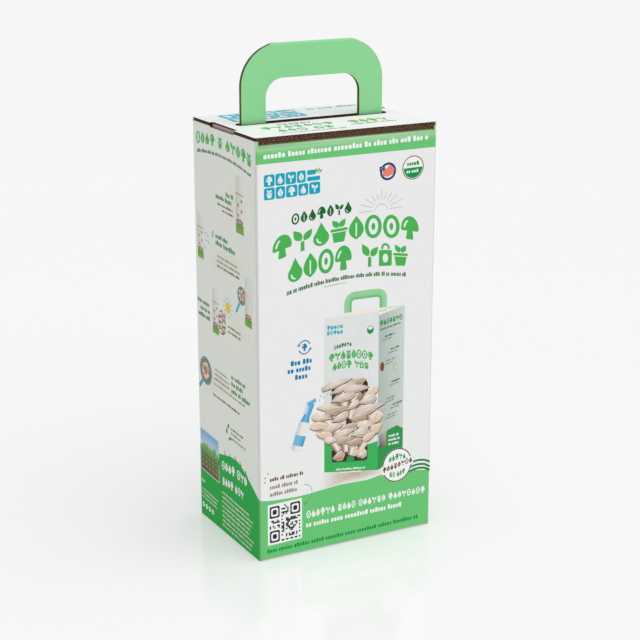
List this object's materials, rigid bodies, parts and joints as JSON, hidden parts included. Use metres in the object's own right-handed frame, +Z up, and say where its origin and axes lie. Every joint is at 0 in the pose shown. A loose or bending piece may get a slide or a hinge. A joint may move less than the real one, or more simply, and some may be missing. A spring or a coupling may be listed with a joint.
{
  "type": "mushroom grow kit carton",
  "caption": "Upright corrugated retail carton with a hinged slotted lid, a folded carry handle and a tear-out window, holding a bagged growing block, a booklet and a spray bottle.",
  "frame": {"origin": "centre of the carton's footprint, on the surface it stands on", "axes": "+Z up through the handle, -Y out of the printed front, +X to the right of the front"},
  "size_m": [0.14, 0.1, 0.354],
  "materials": {
    "printed_board": "satin",
    "green_board": "satin",
    "kraft_board": "matte",
    "substrate": "matte",
    "bag_film": "gloss",
    "booklet_paper": "satin",
    "bottle_plastic": "satin",
    "pump_plastic": "satin"
  },
  "bodies": {
    "carton": {"carton_sleeve": "printed_board", "tear_out_window": "printed_board", "front_tuck_flap": "printed_board", "glue_flap": "printed_board", "bottom_left_flap": "green_board", "bottom_right_flap": "green_board", "bottom_front_flap": "green_board", "bottom_back_flap": "green_board", "insert_front_panel": "kraft_board", "insert_back_panel": "kraft_board", "growing_block": "substrate", "grow_bag": "bag_film", "bag_top_fold": "bag_film", "booklet": "booklet_paper", "bottle_body": "bottle_plastic", "pump_collar": "pump_plastic", "spray_head": "pump_plastic"},
    "lid": {"lid_flap": "printed_board"},
    "handle": {"handle": "green_board"}
  },
  "joints": [
    {"name": "lid_hinge", "type": "hinge", "parent": "carton", "child": "lid", "pos_m": [0, 0.05, 0.3], "axis": [-1, 0, 0], "range_deg": [0, 150]},
    {"name": "handle_crease", "type": "hinge", "parent": "carton", "child": "handle", "pos_m": [0, 0.002, 0.301], "axis": [-1, 0, 0], "range_deg": [0, 74]}
  ],
  "couplings": [
    {"joint": "handle_crease", "follows": "lid_hinge", "ratio": 0.49}
  ]
}
